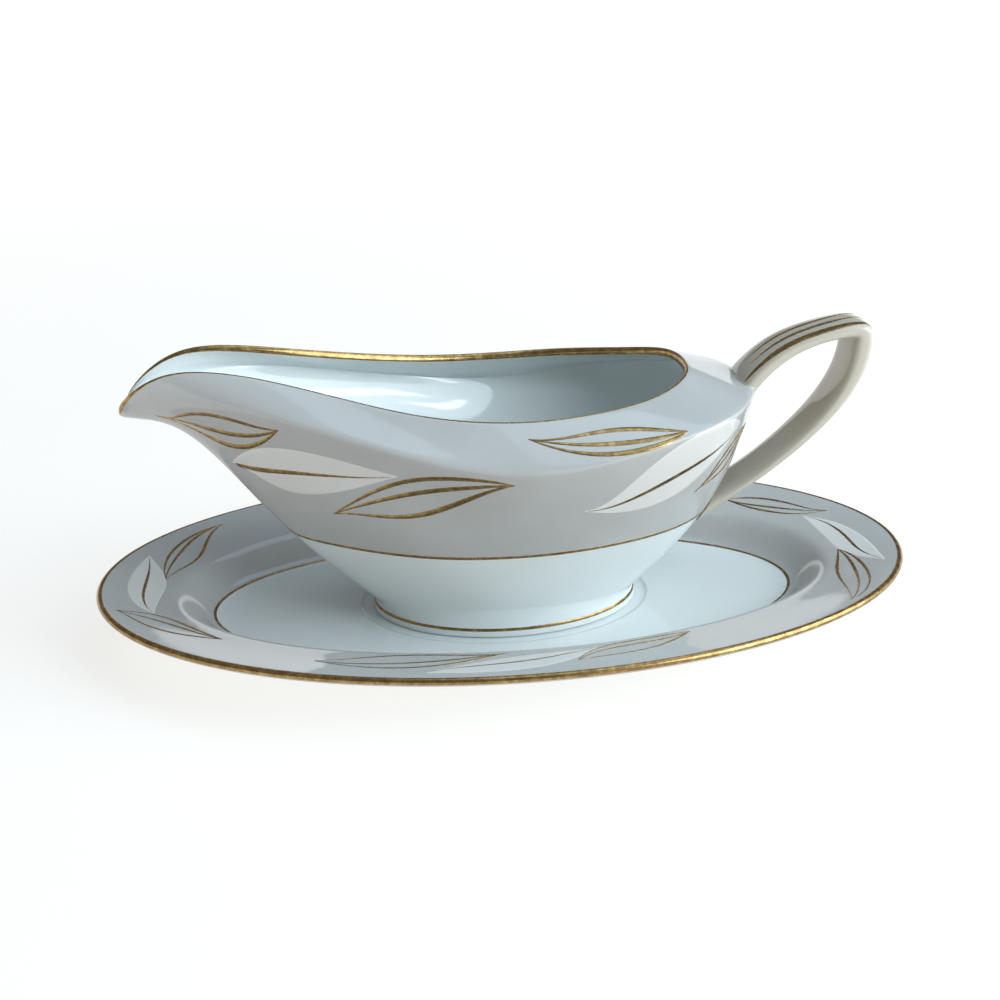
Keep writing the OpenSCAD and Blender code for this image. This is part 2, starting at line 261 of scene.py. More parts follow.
# --- decoration laid out on a surface ---
def shifted(surface, turn, t, step, d, rounds=5):
    """Points (turn, t) of a surface moved sideways by d mm from a line that runs in direction step."""
    turn, t = turn.copy(), t.copy()
    step = np.broadcast_to(step, (len(t), 2))
    h_turn, h_t = 1e-4, 1e-3
    for _ in range(rounds):
        by_turn = (surface(turn + h_turn, t) - surface(turn - h_turn, t)) / (2 * h_turn)
        by_t = (surface(turn, t + h_t) - surface(turn, t - h_t)) / (2 * h_t)
        chord = unit(by_turn * step[:, :1] + by_t * step[:, 1:])
        side = unit(np.cross(unit(np.cross(by_turn, by_t)), chord)) * (d / rounds)[:, None]
        aa, ab, bb = (by_turn**2).sum(1), (by_turn * by_t).sum(1), (by_t**2).sum(1)
        pa, pb = (by_turn * side).sum(1), (by_t * side).sum(1)
        det = aa * bb - ab**2
        turn += (pa * bb - pb * ab) / det
        t += (pb * aa - pa * ab) / det
    return turn, t


def bulge(s, q):
    """Side offset of an edge that is q[0], q[1], q[2] mm off the chord near its base, middle and tip."""
    a, b, c = 8 * (s - 0.5) * (s - 0.75), -16 * (s - 0.25) * (s - 0.75), 8 * (s - 0.25) * (s - 0.5)
    return 4 * s * (1 - s) * (a * q[0] + b * q[1] + c * q[2])


def on_chord(base, tip, s):
    """Places at shares s of the straight line from base to tip, and the line's direction."""
    b, e = (np.array([p[0] / 360, p[1]]) for p in (base, tip))
    p = b + (e - b) * s[:, None]
    return p[:, 0], p[:, 1], e - b


def normals_at(surface, turn, t):
    """Unit normals of a surface, on the side its two directions turn towards."""
    h_turn, h_t = 1e-4, 1e-3
    by_turn = surface(turn + h_turn, t) - surface(turn - h_turn, t)
    by_t = surface(turn, t + h_t) - surface(turn, t - h_t)
    return unit(np.cross(by_turn, by_t))


# --- meshes ---
def make_mesh(name, points, faces, attributes=None):
    """A smooth mesh object from points in millimetres."""
    points = np.asarray(points)
    faces = [list(map(int, f)) for f in faces]
    tris = np.array([(f[0], f[i], f[i + 1]) for f in faces for i in range(1, len(f) - 1)])
    a, b, c = (points[tris[:, i]] for i in range(3))
    if (a * np.cross(b, c)).sum() < 0:
        faces = [f[::-1] for f in faces]
    mesh = bpy.data.meshes.new(name)
    mesh.from_pydata((points * MM).tolist(), [], faces)
    mesh.validate()
    mesh.shade_smooth()
    for key, values in (attributes or {}).items():
        layer = mesh.attributes.new(key, "FLOAT", "POINT")
        layer.data.foreach_set("value", np.asarray(values, np.float32))
    obj = bpy.data.objects.new(name, mesh)
    bpy.context.scene.collection.objects.link(obj)
    return obj


def quads(rows, cols, wrap_rows=False):
    """Faces of a grid of closed rings, as (n, 4) indices; with wrap_rows the last ring joins the first."""
    jj, kk = np.meshgrid(np.arange(rows if wrap_rows else rows - 1), np.arange(cols), indexing="ij")
    j2, k2 = (jj + 1) % rows, (kk + 1) % cols
    return np.stack([jj * cols + kk, jj * cols + k2, j2 * cols + k2, j2 * cols + kk], -1).reshape(-1, 4)


def capped_skin(name, rows, attributes=None):
    """Closed skin of rings of points, each end drawn to a point."""
    rows = np.asarray(rows)
    n, cols = rows.shape[:2]
    points = np.concatenate([rows.reshape(-1, 3), [rows[0].mean(0), rows[-1].mean(0)]])
    k = np.arange(cols)
    k2 = (k + 1) % cols
    base, end = n * cols, (n - 1) * cols
    faces = list(quads(n, cols))
    faces += list(np.stack([k2, k, np.full(cols, base)], -1))
    faces += list(np.stack([end + k, end + k2, np.full(cols, base + 1)], -1))
    extra = {
        key: np.concatenate([np.asarray(v).ravel(), [np.asarray(v)[0].mean(), np.asarray(v)[-1].mean()]])
        for key, v in (attributes or {}).items()
    }
    return make_mesh(name, points, faces, extra)


def ring_skin(name, rows):
    """Closed skin of rings of points, the last joined to the first."""
    return make_mesh(name, rows.reshape(-1, 3), quads(*rows.shape[:2], wrap_rows=True))


def row_normals(rows):
    """Outward normals of rings of points that run anticlockwise and upwards."""
    along_row = np.roll(rows, -1, 1) - np.roll(rows, 1, 1)
    up = np.empty_like(rows)
    up[1:-1] = rows[2:] - rows[:-2]
    up[0], up[-1] = rows[1] - rows[0], rows[-1] - rows[-2]
    return unit(np.cross(along_row, up))


def band(name, rows, proud, sunk=0.15):
    """Thin closed band over a strip of rings, highest in its middle and let in at its edges."""
    rows = np.asarray(rows)
    n = row_normals(rows)
    s = np.linspace(-1, 1, len(rows))[:, None, None]
    crown = -0.03 + (proud + 0.03) * (1 - s**4)
    return ring_skin(name, np.concatenate([rows + n * crown, (rows - n * sunk)[::-1]]))


def stroke(name, pieces, surface, proud=0.09, sunk=0.12):
    """Raised brush strokes: each piece is (turn, t, half widths) along a line on the surface."""
    points, faces, start = [], [], 0
    across = np.array([-1, -0.75, -0.35, 0, 0.35, 0.75, 1])
    crown = np.array([-0.04, 0.35, 0.85, 1, 0.85, 0.35, -0.04]) * proud
    for turn, t, half in pieces:
        step = np.array([np.gradient(turn), np.gradient(t)]).T
        cols = []
        for a, h in zip((*across, 0.7, 0, -0.7), (*crown, -sunk, -sunk, -sunk)):
            place = shifted(surface, turn, t, step, a * half, 2)
            cols.append(surface(*place) + normals_at(surface, *place) * h)
        ring = np.stack(cols, 1)
        m, c = ring.shape[:2]
        points.append(ring.reshape(-1, 3))
        faces += [[start + i for i in f[::-1]] for f in quads(m, c)]
        faces.append([start + i for i in range(c)])
        faces.append([start + (m - 1) * c + i for i in range(c)][::-1])
        start += m * c
    return make_mesh(name, np.concatenate(points), faces)


def leaf_fill(name, pieces, surface, proud=0.06, sunk=0.12):
    """Thin closed leaves: each piece is (base, tip, one edge's bulge, the other edge's bulge)."""
    points, faces, start = [], [], 0
    s = np.linspace(0, 1, 97)
    across = np.linspace(0, 1, 17)
    for base, tip, q0, q1 in pieces:
        turn, t, step = on_chord(base, tip, s)
        edges = [shifted(surface, turn, t, step, bulge(s, np.array(q, float))) for q in (q0, q1)]
        tu = edges[0][0][:, None] * (1 - across) + edges[1][0][:, None] * across
        tt = edges[0][1][:, None] * (1 - across) + edges[1][1][:, None] * across
        shape = tu.shape
        at = surface(tu.ravel(), tt.ravel()).reshape(*shape, 3)
        n = normals_at(surface, tu.ravel(), tt.ravel()).reshape(*shape, 3)
        rim = np.minimum(1, 4 * np.sin(np.pi * across)) * np.minimum(1, 12 * np.sin(np.pi * s))[:, None]
        top = at + n * (rim * (proud + 0.03) - 0.03)[..., None]
        low = at - n * sunk
        ring = np.concatenate([top, low[:, ::-1]], 1)
        i, j = len(s) // 2, len(across) // 2
        if np.cross(top[i, j + 1] - top[i, j], top[i + 1, j] - top[i, j]) @ n[i, j] < 0:
            ring = ring[:, ::-1]
        m, c = ring.shape[:2]
        points.append(ring.reshape(-1, 3))
        faces += [[start + i for i in f] for f in quads(m, c)]
        faces.append([start + i for i in range(c)][::-1])
        faces.append([start + (m - 1) * c + i for i in range(c)])
        start += m * c
    return make_mesh(name, np.concatenate(points), faces)


# --- bowl ---
turns = np.arange(AROUND) / AROUND
outside, inside = sections(turns, SHOULDER_SOFT), sections(turns, INSIDE_SOFT)
BELLY_Z = (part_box("boat_belly_gilding")[0][2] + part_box("boat_belly_gilding")[1][2]) / 2 / MM
circle = np.stack([np.cos(2 * np.pi * turns), np.sin(2 * np.pi * turns)], -1)


def rows_at(paths, places):
    """Rings of points, one at each place up the sections."""
    return np.stack([path_at(paths, np.full(AROUND, t)) for t in places])


def oval_row(a, b, z):
    """Level ellipse of points."""
    return np.concatenate([circle * [a, b], np.full((AROUND, 1), z)], 1)


# Sides of the boat's foot: insets and heights inside, then shares of its size and heights outside
foot_hollow = [
    [12, 3.4], [8, 3.4], [4.6, 3.4], [3.9, 3.1],
    [3.7, 2], [3.6, 0.6], [3.4, 0.15], [3, 0.04],
]
foot_outer = [
    [0.982, 0.04], [0.993, 0.06], [0.9995, 0.25], [1, 0.7],
    [0.9985, 1.3], [0.992, 2], [0.984, 2.8], [FOOT_SHARE, FOOT_H],
]
foot_places = np.linspace(0, 7, 30)
foot_hollow_rows = [
    oval_row(FOOT_A - w, FOOT_B - w, BOAT_Z + z) for w, z in along(foot_hollow, foot_places)
]
foot_outer_rows = [
    oval_row(FOOT_A * s, FOOT_B * s, BOAT_Z + z) for s, z in along(foot_outer, foot_places)
]
under_a, under_b = FOOT_A - foot_hollow[0][0], FOOT_B - foot_hollow[0][0]
under_rows = [oval_row(under_a * s, under_b * s, BOAT_Z + FOOT_H) for s in (0.15, 0.4, 0.7, 0.9)]
outer_rows = rows_at(outside, np.concatenate([
    np.linspace(0, SIDE_T, 64),
    np.linspace(SIDE_T, SHOULDER_END_T, 40)[1:],
    np.linspace(SHOULDER_END_T, RIM_T, 14)[1:],
]))


def place_at_height(paths, z):
    """Place up each section, below the shoulder, where it reaches height z."""
    low_t, high_t = np.zeros(AROUND), np.full(AROUND, float(SIDE_T))
    for _ in range(30):
        mid = (low_t + high_t) / 2
        below = path_at(paths, mid)[:, 2] < z
        low_t, high_t = np.where(below, mid, low_t), np.where(below, high_t, mid)
    return low_t


# Inside of the bowl: rings from the rim down to just above the level floor, in each direction
ABOVE_FLOOR, THICKENING = 0.3, 6.5
floor_z = BOAT_Z + FOOT_H + FLOOR
inner_share = np.linspace(0, 1, 84)
lowest = place_at_height(inside, floor_z + ABOVE_FLOOR)
inner_parent = np.stack([path_at(inside, RIM_T - f * (RIM_T - lowest)) for f in inner_share])
thickening = np.clip(inner_share * THICKENING, 0, 1)[:, None]
wall = (RIM_WALL + (WALL - RIM_WALL) * thickening) * value_at(WALL_SHARE, turns)
inner_rows = inner_parent + wall[..., None] * row_normals(inner_parent)

# Rounded lip
LIP = 0.56
rim_row, below_rim = outside[:, 6], outside[:, 5]
lip_up = unit(rim_row - below_rim)
lip_mid, lip_half = (rim_row + inner_rows[0]) / 2, (rim_row - inner_rows[0]) / 2
lip_rows = np.stack([
    lip_mid + lip_half * math.cos(a) + LIP * math.sin(a) * lip_up for a in np.radians(np.arange(15, 180, 15))
])

# Rounded corner of the floor, then the floor
CORNER_SHARE = 0.14
low = inner_rows[-1]
floor_rows = []
for a in np.radians(np.arange(9, 91, 9)):
    share = 1 - CORNER_SHARE * (1 - math.cos(a))
    z = floor_z + (low[:, 2] - floor_z) * (1 - math.sin(a))
    floor_rows.append(np.concatenate([low[:, :2] * share, z[:, None]], 1))
floor_edge = floor_rows[-1][:, :2]
for share in (0.93, 0.8, 0.6, 0.4, 0.15):
    floor_rows.append(np.concatenate([floor_edge * share, np.full((AROUND, 1), floor_z)], 1))

# Height above the belly line says where the outside is grey; the inside counts as below it
FAR_BELOW = -20.0
outer_groups = [under_rows, foot_hollow_rows[1:], foot_outer_rows, outer_rows[1:]]
bowl_rows = np.concatenate([np.asarray(g) for g in (*outer_groups, lip_rows, inner_rows, floor_rows)])
last_outer = sum(len(g) for g in outer_groups)
above_line = np.full(bowl_rows.shape[:2], FAR_BELOW)
above_line[:last_outer] = bowl_rows[:last_outer, :, 2] - BELLY_Z
bowl = capped_skin("bowl", bowl_rows, attributes={"above_line": above_line})

# --- handle ---
FILLET, FACETS = 0.5, 72
ROOT_TOP_T, ROOT_LOW_T = 2, 8.2
strap_t = np.concatenate([
    np.linspace(0, ROOT_TOP_T, 120),
    np.linspace(ROOT_TOP_T, ROOT_LOW_T, 200)[1:],
    np.linspace(ROOT_LOW_T, STRAP_END, 110)[1:],
])
facet = 2 * np.pi * np.arange(FACETS) / FACETS


def signed_power(v, p):
    """Power that keeps the sign, for superellipses."""
    return np.sign(v) * np.abs(v) ** p


strap_y = along(STRAP_HALF, strap_t) * signed_power(np.cos(facet), 2 / STRAP_SQUARE)
strap_s = np.broadcast_to(signed_power(np.sin(facet), 2 / STRAP_SQUARE), strap_y.shape)
strap = strap_at(np.repeat(strap_t, FACETS), strap_y.ravel(), strap_s.ravel()).reshape(-1, FACETS, 3)

# The strap swells a little where it meets the bowl's wall
bowl_tree = BVHTree.FromObject(bowl, bpy.context.evaluated_depsgraph_get())
strap_out = unit(np.cross(np.roll(strap, -1, 1) - np.roll(strap, 1, 1), np.gradient(strap, axis=0)))
if ((strap - strap.mean(1, keepdims=True)) * strap_out).sum() < 0:
    strap_out = -strap_out
away = np.empty(strap.shape[:2])
for index in np.ndindex(away.shape):
    p = Vector(strap[index] * MM)
    hit, normal, _, distance = bowl_tree.find_nearest(p)
    away[index] = distance / MM * (1 if (p - hit).dot(normal) > 0 else -1)
near = np.clip(FILLET - np.abs(away), 0, FILLET)
swell = FILLET - np.sqrt(FILLET**2 - near**2 + 1e-9)
strap_rows = strap + strap_out * swell[..., None]
handle = capped_skin("handle", strap_rows[:, ::-1])

# --- underplate ---
plate_t = np.concatenate([np.linspace(0, 2, 20), np.linspace(2, 7.2, 70)[1:], np.linspace(7.2, 8, 8)[1:]])
under_t = np.linspace(0, 8, 80)
edge_a = np.arange(TILT - 84, TILT + 90, 6)


def plate_rows(inset_z):
    """Ellipses of points round the underplate, one for each inset and height."""
    return [plate_point(np.tile(p, (AROUND, 1)), turns) for p in inset_z]


# Insets and heights from the middle of the base, round the foot ring, to the foot of the outer wall
foot_sides = [
    [PLATE_FOOT + 14, UNDERSIDE], [PLATE_FOOT + 8, UNDERSIDE], [PLATE_FOOT + 4.6, UNDERSIDE],
    [PLATE_FOOT + 3.7, UNDERSIDE - 0.5], [PLATE_FOOT + 3.5, 1.6], [PLATE_FOOT + 3.3, 0.6],
    [PLATE_FOOT + 2.7, 0.12], [PLATE_FOOT + 1.7, 0.08], [PLATE_FOOT + 0.8, 0.12], [PLATE_FOOT + 0.2, 0.6],
    [PLATE_FOOT, 1.6], [PLATE_FOOT - 0.3, UNDERSIDE - 0.5], [PLATE_FOOT - 1.5, UNDERSIDE],
]
foot_side_pts = along(foot_sides, np.linspace(0, 12, 70))
base_a, base_b = PLATE_A - foot_sides[0][0], PLATE_B - foot_sides[0][0]
base_rows = [oval_row(base_a * s, base_b * s, UNDERSIDE) for s in (0.15, 0.45, 0.75, 0.93)]
# Shallow seat for the boat's foot: offsets from its edge and heights
seat_profile = [[2.2, 0], [1.1, -0.01], [0.7, -0.1], [0.3, -0.35], [-0.1, -0.48], [-0.8, -0.5], [-2, -0.5]]
seat_pts = along(seat_profile, np.linspace(0, 6, 24))
seat_rows = [oval_row(SEAT_A + w, SEAT_B + w, WELL + z) for w, z in seat_pts]
seat_a, seat_b = SEAT_A + seat_profile[-1][0], SEAT_B + seat_profile[-1][0]
seat_inner = [oval_row(seat_a * s, seat_b * s, WELL - SEAT_DEPTH) for s in (0.9, 0.7, 0.4, 0.15)]
parts = [
    base_rows,
    plate_rows(foot_side_pts),
    plate_rows(along(PLATE_UNDER, under_t))[1:],
    plate_rows([edge_point(a) for a in edge_a]),
    plate_rows(along(PLATE_TOP, plate_t))[1:],
    seat_rows,
    seat_inner,
]

# The flange and the wall count as above the line, in mm from the well line; the rest is white
LINE_MM = 3.2
counts = [len(p) for p in parts]
edge_start, top_start, top_end = sum(counts[:3]), sum(counts[:4]), sum(counts[:5])
plate_grid = np.concatenate([np.asarray(p) for p in parts])
plate_line = np.full(plate_grid.shape[:2], FAR_BELOW)
plate_line[edge_start:top_start] = WELL_LINE_T * LINE_MM
plate_line[top_start:top_end] = ((WELL_LINE_T - plate_t[1:]) * LINE_MM)[:, None]
plate = capped_skin("dish", plate_grid, attributes={"above_line": plate_line})

# --- fired gold bands ---
GOLD = 0.1
EDGE_GOLD_LOW, EDGE_GOLD_T = -20, 0.09
edge_gold = plate_rows([edge_point(a) for a in np.linspace(EDGE_GOLD_LOW, TILT + 90, 21)])
edge_gold += plate_rows(along(PLATE_TOP, np.linspace(0, EDGE_GOLD_T, 4)))[1:]
plate_edge_gold = band("dish_edge_gold", edge_gold, GOLD)
WELL_GOLD_HALF, BELLY_GOLD_HALF = 0.45, 0.5
well_half = WELL_GOLD_HALF / LINE_MM
well_line = np.linspace(WELL_LINE_T - well_half, WELL_LINE_T + well_half, 7)
well_gold = band("dish_well_gold", plate_rows(along(PLATE_TOP, well_line)), GOLD)

rim_gold_rows = np.concatenate([
    rows_at(outside, (RIM_T - 0.02, RIM_T - 0.01, RIM_T)), lip_rows, inner_rows[:1],
    [inner_rows[0] * (1 - f) + inner_rows[1] * f for f in (0.15, 0.3)],
])
rim_gold = band("rim_gold", rim_gold_rows, GOLD)

belly_gold = band("belly_gold", np.stack([
    path_at(outside, place_at_height(outside, BELLY_Z + h))
    for h in np.linspace(-BELLY_GOLD_HALF, BELLY_GOLD_HALF, 7)
]), GOLD)
foot_gold = band("foot_gold", [
    oval_row(FOOT_A * s, FOOT_B * s, BOAT_Z + z) for s, z in along(foot_outer, np.linspace(4.75, 6.0, 7))
], GOLD)

# Handle stripes: first and last place along the strap, side offset at root and tip, half width
STRIPE_PROUD = 0.07
STRIPES = [[1.1, 4.3, 2.3, 4.9, 1.2], [1.15, 4.5, -2.7, 0.1, 1.2], [0.8, 4.85, -7.8, -5.8, 1.5]]
stripe_lines = []
f = np.linspace(0, 1, 120)
taper = 0.12 + 0.88 * np.sin(np.pi * f) ** 0.7
for t0, t1, y0, y1, half in STRIPES:
    stripe_lines.append((t0 + (t1 - t0) * f, y0 + (y1 - y0) * f, half * taper))
handle_gold = stroke("handle_gold", stripe_lines, strap_top, STRIPE_PROUD)


# --- ground contact, bare china ---
dish_ground = band("dish_foot_ground", plate_rows(along(foot_sides, np.linspace(6.3, 8.2, 9))), 0.05, 0.3)
bowl_ground = band("bowl_foot_ground", [
    oval_row(FOOT_A - w, FOOT_B - w, BOAT_Z + 0.04) for w in np.linspace(3, 1.1, 9)
], 0.03, 0.3)

# --- leaves ---
# Base and tip as (degrees round, place up the surface), then each line's offsets from the chord;
# white leaves also have their vein's offsets, and the share of its length where it is thickest
BOAT_OUTLINES = [
    ((-163.5, 2.9), (-130, 2.95), [(-2.7, -0.2, -1), (-8.4, -9.8, -12.8), (-5.4, -6.1, -8.1)]),
    ((-131, 1.35), (-87.5, 3), [(1.8, 4.2, 6.3), (-7.5, -7.1, -4.7), (-1.6, -0.3, 1)]),
    ((-79.5, 5.6), (-49.5, 4.75), [(2.8, 4.3, 4.6), (-3.4, -3.9, -4.4), (-0.3, -0.3, -0.5)]),
    ((-34.5, 1.9), (-13, 2.75), [(2.6, 5.1, 6.3), (-2.7, -3.3, -0.9), (0.6, 1.7, 3.3)]),
]
BOAT_WHITES = [
    ((-159.5, 1.7), (-111, 2.5), [(1.5, 2.6, 2.4), (-13, -12.6, -11.7)], (-7, -5.6, -5.4), 0.3),
    ((-71, 2.05), (-27.5, 3), [(3.3, 10.6, 14), (-13.4, -13.1, -12.5)], (-5.4, -3.7, -4.3), 0.5),
]
DISH_OUTLINES = [
    ((-184.5, 2.7), (-218, 1.1), [(-4.9, -6.2, -4.4), (2.2, 2.7, 3.3), (0.1, 0.2, 1.3)]),
    ((-163.5, 0.6), (-140, 2.4), [(8.8, 7.2, 5.7), (0, -1.1, -1.2), (4.6, 4.2, 3.4)]),
    ((-119.5, 1.75), (-91.5, 3.05), [(4.2, 4.2, 2.1), (-6.4, -6.3, -5.1), (-2.8, -2.3, -2)]),
    ((-82.5, 1.45), (-62.5, 2.85), [(8, 5.6, 4.1), (-1.7, -3.1, -3.2), (4.7, 2.4, 0.3)]),
    ((-37, 0.5), (-3, 2.65), [(6.4, 7, 6.6), (-2.2, -1.3, -1.5), (1.5, 1.8, 1.4)]),
    ((19.5, 1.05), (42.5, 2.1), [(6.6, 6, 5.9), (0.9, -1, -2.3), (3.5, 3.1, 3.5)]),
]
DISH_WHITES = [
    ((-161, 2), (-196.5, 1), [(-8.7, -10, -11.3), (2.8, 1.9, 1.1)], (-1.9, -3.5, -4.9), 0.5),
    ((-102.5, 0.8), (-78, 2.65), [(7, 6, 5), (-4.6, -6.1, -6.2)], (3, 1, 0.5), 0.5),
    ((-15, 0.7), (22, 2.05), [(12.8, 10.5, 9.2), (1.2, -0.1, -1.5)], (7.1, 4.4, 1.8), 0.5),
]
# Half widths of the gold lines, in mm
LINE_HALF = {"boat": 0.85, "dish": 0.55}
VEIN_HALF = {"boat": 1.6, "dish": 0.95}


def turned_over(offsets):
    """Offsets on the other side of the chord."""
    return tuple(-v for v in offsets)


def flipped(leaf):
    """The same leaf on the other side of the long axis."""
    base, tip, edges, *vein = leaf
    out = [(-base[0], base[1]), (-tip[0], tip[1]), [turned_over(q) for q in edges]]
    return (*out, turned_over(vein[0]), vein[1]) if vein else tuple(out)


def outline_strokes(leaves, surface, width):
    """Gold lines of the open leaves: two edges and a vein each, thin at the base and the tip."""
    lines = []
    s = np.linspace(0, 1, 110)
    for base, tip, edges in leaves:
        turn, t, step = on_chord(base, tip, s)
        for q in edges:
            half = width * (0.2 + 0.8 * np.sin(np.pi * s**1.6) ** 0.7)
            lines.append((*shifted(surface, turn, t, step, bulge(s, q)), half))
    return lines


def vein_strokes(leaves, surface, width):
    """Gold veins of the white leaves."""
    lines = []
    s = np.linspace(0.03, 0.96, 110)
    for base, tip, _, q, peak in leaves:
        turn, t, step = on_chord(base, tip, s)
        half = width * (0.08 + 0.92 * np.sin(np.pi * s ** (math.log(0.5) / math.log(peak))) ** 1.3)
        lines.append((*shifted(surface, turn, t, step, bulge(s, q)), half))
    return lines


DISH_BACK_OUTLINES = [flipped(v) for v in DISH_OUTLINES[2:4]]
DISH_BACK_WHITES = [flipped(DISH_WHITES[1])]
leaf_pieces = {}
for where, surface, outlines, whites in (
    ("boat_near", boat_at, BOAT_OUTLINES, BOAT_WHITES),
    ("boat_far", boat_at, [flipped(v) for v in BOAT_OUTLINES], [flipped(v) for v in BOAT_WHITES]),
    ("dish", plate_at, DISH_OUTLINES + DISH_BACK_OUTLINES, DISH_WHITES + DISH_BACK_WHITES),
):
    kind = where.split("_")[0]
    gold_lines = outline_strokes(outlines, surface, LINE_HALF[kind])
    gold_lines += vein_strokes(whites, surface, VEIN_HALF[kind])
    leaf_pieces[where] = (
        stroke(where + "_leaf_gold", gold_lines, surface),
        leaf_fill(where + "_leaf_white", [(b, e, q[0], q[1]) for b, e, q, _, _ in whites], surface),
    )

# --- what rides on what ---
BOAT, DISH = "boat", "underplate"
for piece, body, slot, nodes in (
    (bowl, BOAT, "white_glaze", ("boat_body",)),
    (bowl_ground, BOAT, "white_glaze", ("boat_foot_ring",)),
    (handle, BOAT, "white_glaze", ("boat_handle",)),
    (rim_gold, BOAT, "gilding", ("boat_rim_gilding",)),
    (belly_gold, BOAT, "gilding", ("boat_belly_gilding",)),
    (foot_gold, BOAT, "gilding", ("boat_foot_gilding",)),
    (handle_gold, BOAT, "gilding", ("handle_gilding",)),
    (plate, DISH, "grey_glaze", ("underplate",)),
    (dish_ground, DISH, "bare_china", ("underplate_foot_ring",)),
    (plate_edge_gold, DISH, "gilding", ("underplate_rim_gilding",)),
    (well_gold, DISH, "gilding", ("underplate_well_gilding",)),
    (leaf_pieces["boat_near"][0], BOAT, "gilding", ()),
    (leaf_pieces["boat_near"][1], BOAT, "white_glaze", ()),
    (leaf_pieces["boat_far"][0], BOAT, "gilding", ()),
    (leaf_pieces["boat_far"][1], BOAT, "white_glaze", ()),
    (leaf_pieces["dish"][0], DISH, "gilding", ()),
    (leaf_pieces["dish"][1], DISH, "white_glaze", ()),
):
    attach(piece, body)
    if nodes:
        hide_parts(*nodes)


# --- materials ---
class Nodes:
    """A short way to write a material's nodes."""

    def __init__(self, name):
        self.material = bpy.data.materials.new(name)
        self.material.use_nodes = True
        self.tree = self.material.node_tree
        self.shader = self.tree.nodes["Principled BSDF"]
        self.place = self.tree.nodes.new("ShaderNodeTexCoord").outputs["Object"]

    def link(self, source, target):
        self.tree.links.new(source, target)

    def noise(self, scale, detail=3.0, roughness=0.5):
        n = self.tree.nodes.new("ShaderNodeTexNoise")
        n.inputs["Scale"].default_value = scale
        n.inputs["Detail"].default_value = detail
        n.inputs["Roughness"].default_value = roughness
        self.link(self.place, n.inputs["Vector"])
        return n.outputs["Fac"]

    def ramp(self, source, stops):
        r = self.tree.nodes.new("ShaderNodeValToRGB")
        e = r.color_ramp.elements
        while len(e) < len(stops):
            e.new(0.5)
        for slot, (at, colour) in zip(e, stops):
            slot.position = at
            slot.color = (*colour, 1)
        self.link(source, r.inputs["Fac"])
        return r.outputs["Color"]

    def span(self, source, low, high, to_low, to_high):
        m = self.tree.nodes.new("ShaderNodeMapRange")
        for key, value in (("From Min", low), ("From Max", high), ("To Min", to_low), ("To Max", to_high)):
            m.inputs[key].default_value = value
        self.link(source, m.inputs["Value"])
        return m.outputs["Result"]

    def mix(self, share, a, b):
        m = self.tree.nodes.new("ShaderNodeMix")
        m.data_type = "RGBA"
        for socket, value in ((m.inputs[0], share), (m.inputs[6], a), (m.inputs[7], b)):
            self.link(value, socket)
        return m.outputs[2]

    def bump(self, height, distance, strength):
        b = self.tree.nodes.new("ShaderNodeBump")
        b.inputs["Distance"].default_value = distance
        b.inputs["Strength"].default_value = strength
        self.link(height, b.inputs["Height"])
        return b.outputs["Normal"]

    def attribute(self, name):
        a = self.tree.nodes.new("ShaderNodeAttribute")
        a.attribute_name = name
        return a.outputs["Fac"]


WHITE_GLAZE = (0.70, 0.745, 0.735)
GREY_GLAZE = (0.445, 0.445, 0.43)
LEAF_WHITE = (0.68, 0.67, 0.635)
HANDLE_GLAZE = (0.52, 0.475, 0.39)


def shade(colour, share):
    """A colour made lighter or darker."""
    return tuple(c * share for c in colour)


def glaze(name, white, ground=None):
    """Glossy glaze; ground is the colour above the gold line, where a piece has one."""
    n = Nodes(name)
    colour = n.ramp(n.noise(35, 2), [(0.3, shade(white, 0.975)), (0.7, white)])
    if ground is not None:
        tint = n.ramp(n.noise(60, 4, 0.6), [(0.3, shade(ground, 0.96)), (0.7, shade(ground, 1.02))])
        over = n.span(n.attribute("above_line"), -0.1, 0.1, 0, 1)
        colour = n.mix(over, colour, tint)
    n.link(colour, n.shader.inputs["Base Color"])
    n.link(n.span(n.noise(150, 4), 0.3, 0.7, 0.05, 0.10), n.shader.inputs["Roughness"])
    n.link(n.bump(n.noise(130, 2), 0.00012, 0.25), n.shader.inputs["Normal"])
    n.shader.inputs["IOR"].default_value = 1.52
    return n.material


GOLD_DARK, GOLD_MIDDLE, GOLD_LIGHT = (0.18, 0.105, 0.04), (0.34, 0.21, 0.082), (0.57, 0.41, 0.165)


def gilding(name):
    """Worn fired gold."""
    n = Nodes(name)
    wear = n.noise(500, 5, 0.65)
    tones = [(0.25, GOLD_DARK), (0.5, GOLD_MIDDLE), (0.75, GOLD_LIGHT)]
    n.link(n.ramp(wear, tones), n.shader.inputs["Base Color"])
    n.link(n.span(n.noise(260, 4), 0.3, 0.7, 0.16, 0.34), n.shader.inputs["Roughness"])
    n.link(n.bump(n.noise(1500, 3), 0.00004, 0.35), n.shader.inputs["Normal"])
    n.shader.inputs["Metallic"].default_value = 1.0
    return n.material


def bare_china(name):
    """Unglazed, ground china."""
    n = Nodes(name)
    grain = n.noise(2200, 5, 0.7)
    tones = [(0.3, (0.70, 0.67, 0.61)), (0.7, (0.83, 0.81, 0.76))]
    n.link(n.ramp(grain, tones), n.shader.inputs["Base Color"])
    n.link(n.span(grain, 0.3, 0.7, 0.75, 0.95), n.shader.inputs["Roughness"])
    n.link(n.bump(grain, 0.0001, 0.6), n.shader.inputs["Normal"])
    return n.material


def finish_with(material, *objects):
    """Gives each object the material."""
    for o in objects:
        o.data.materials.clear()
        o.data.materials.append(material)


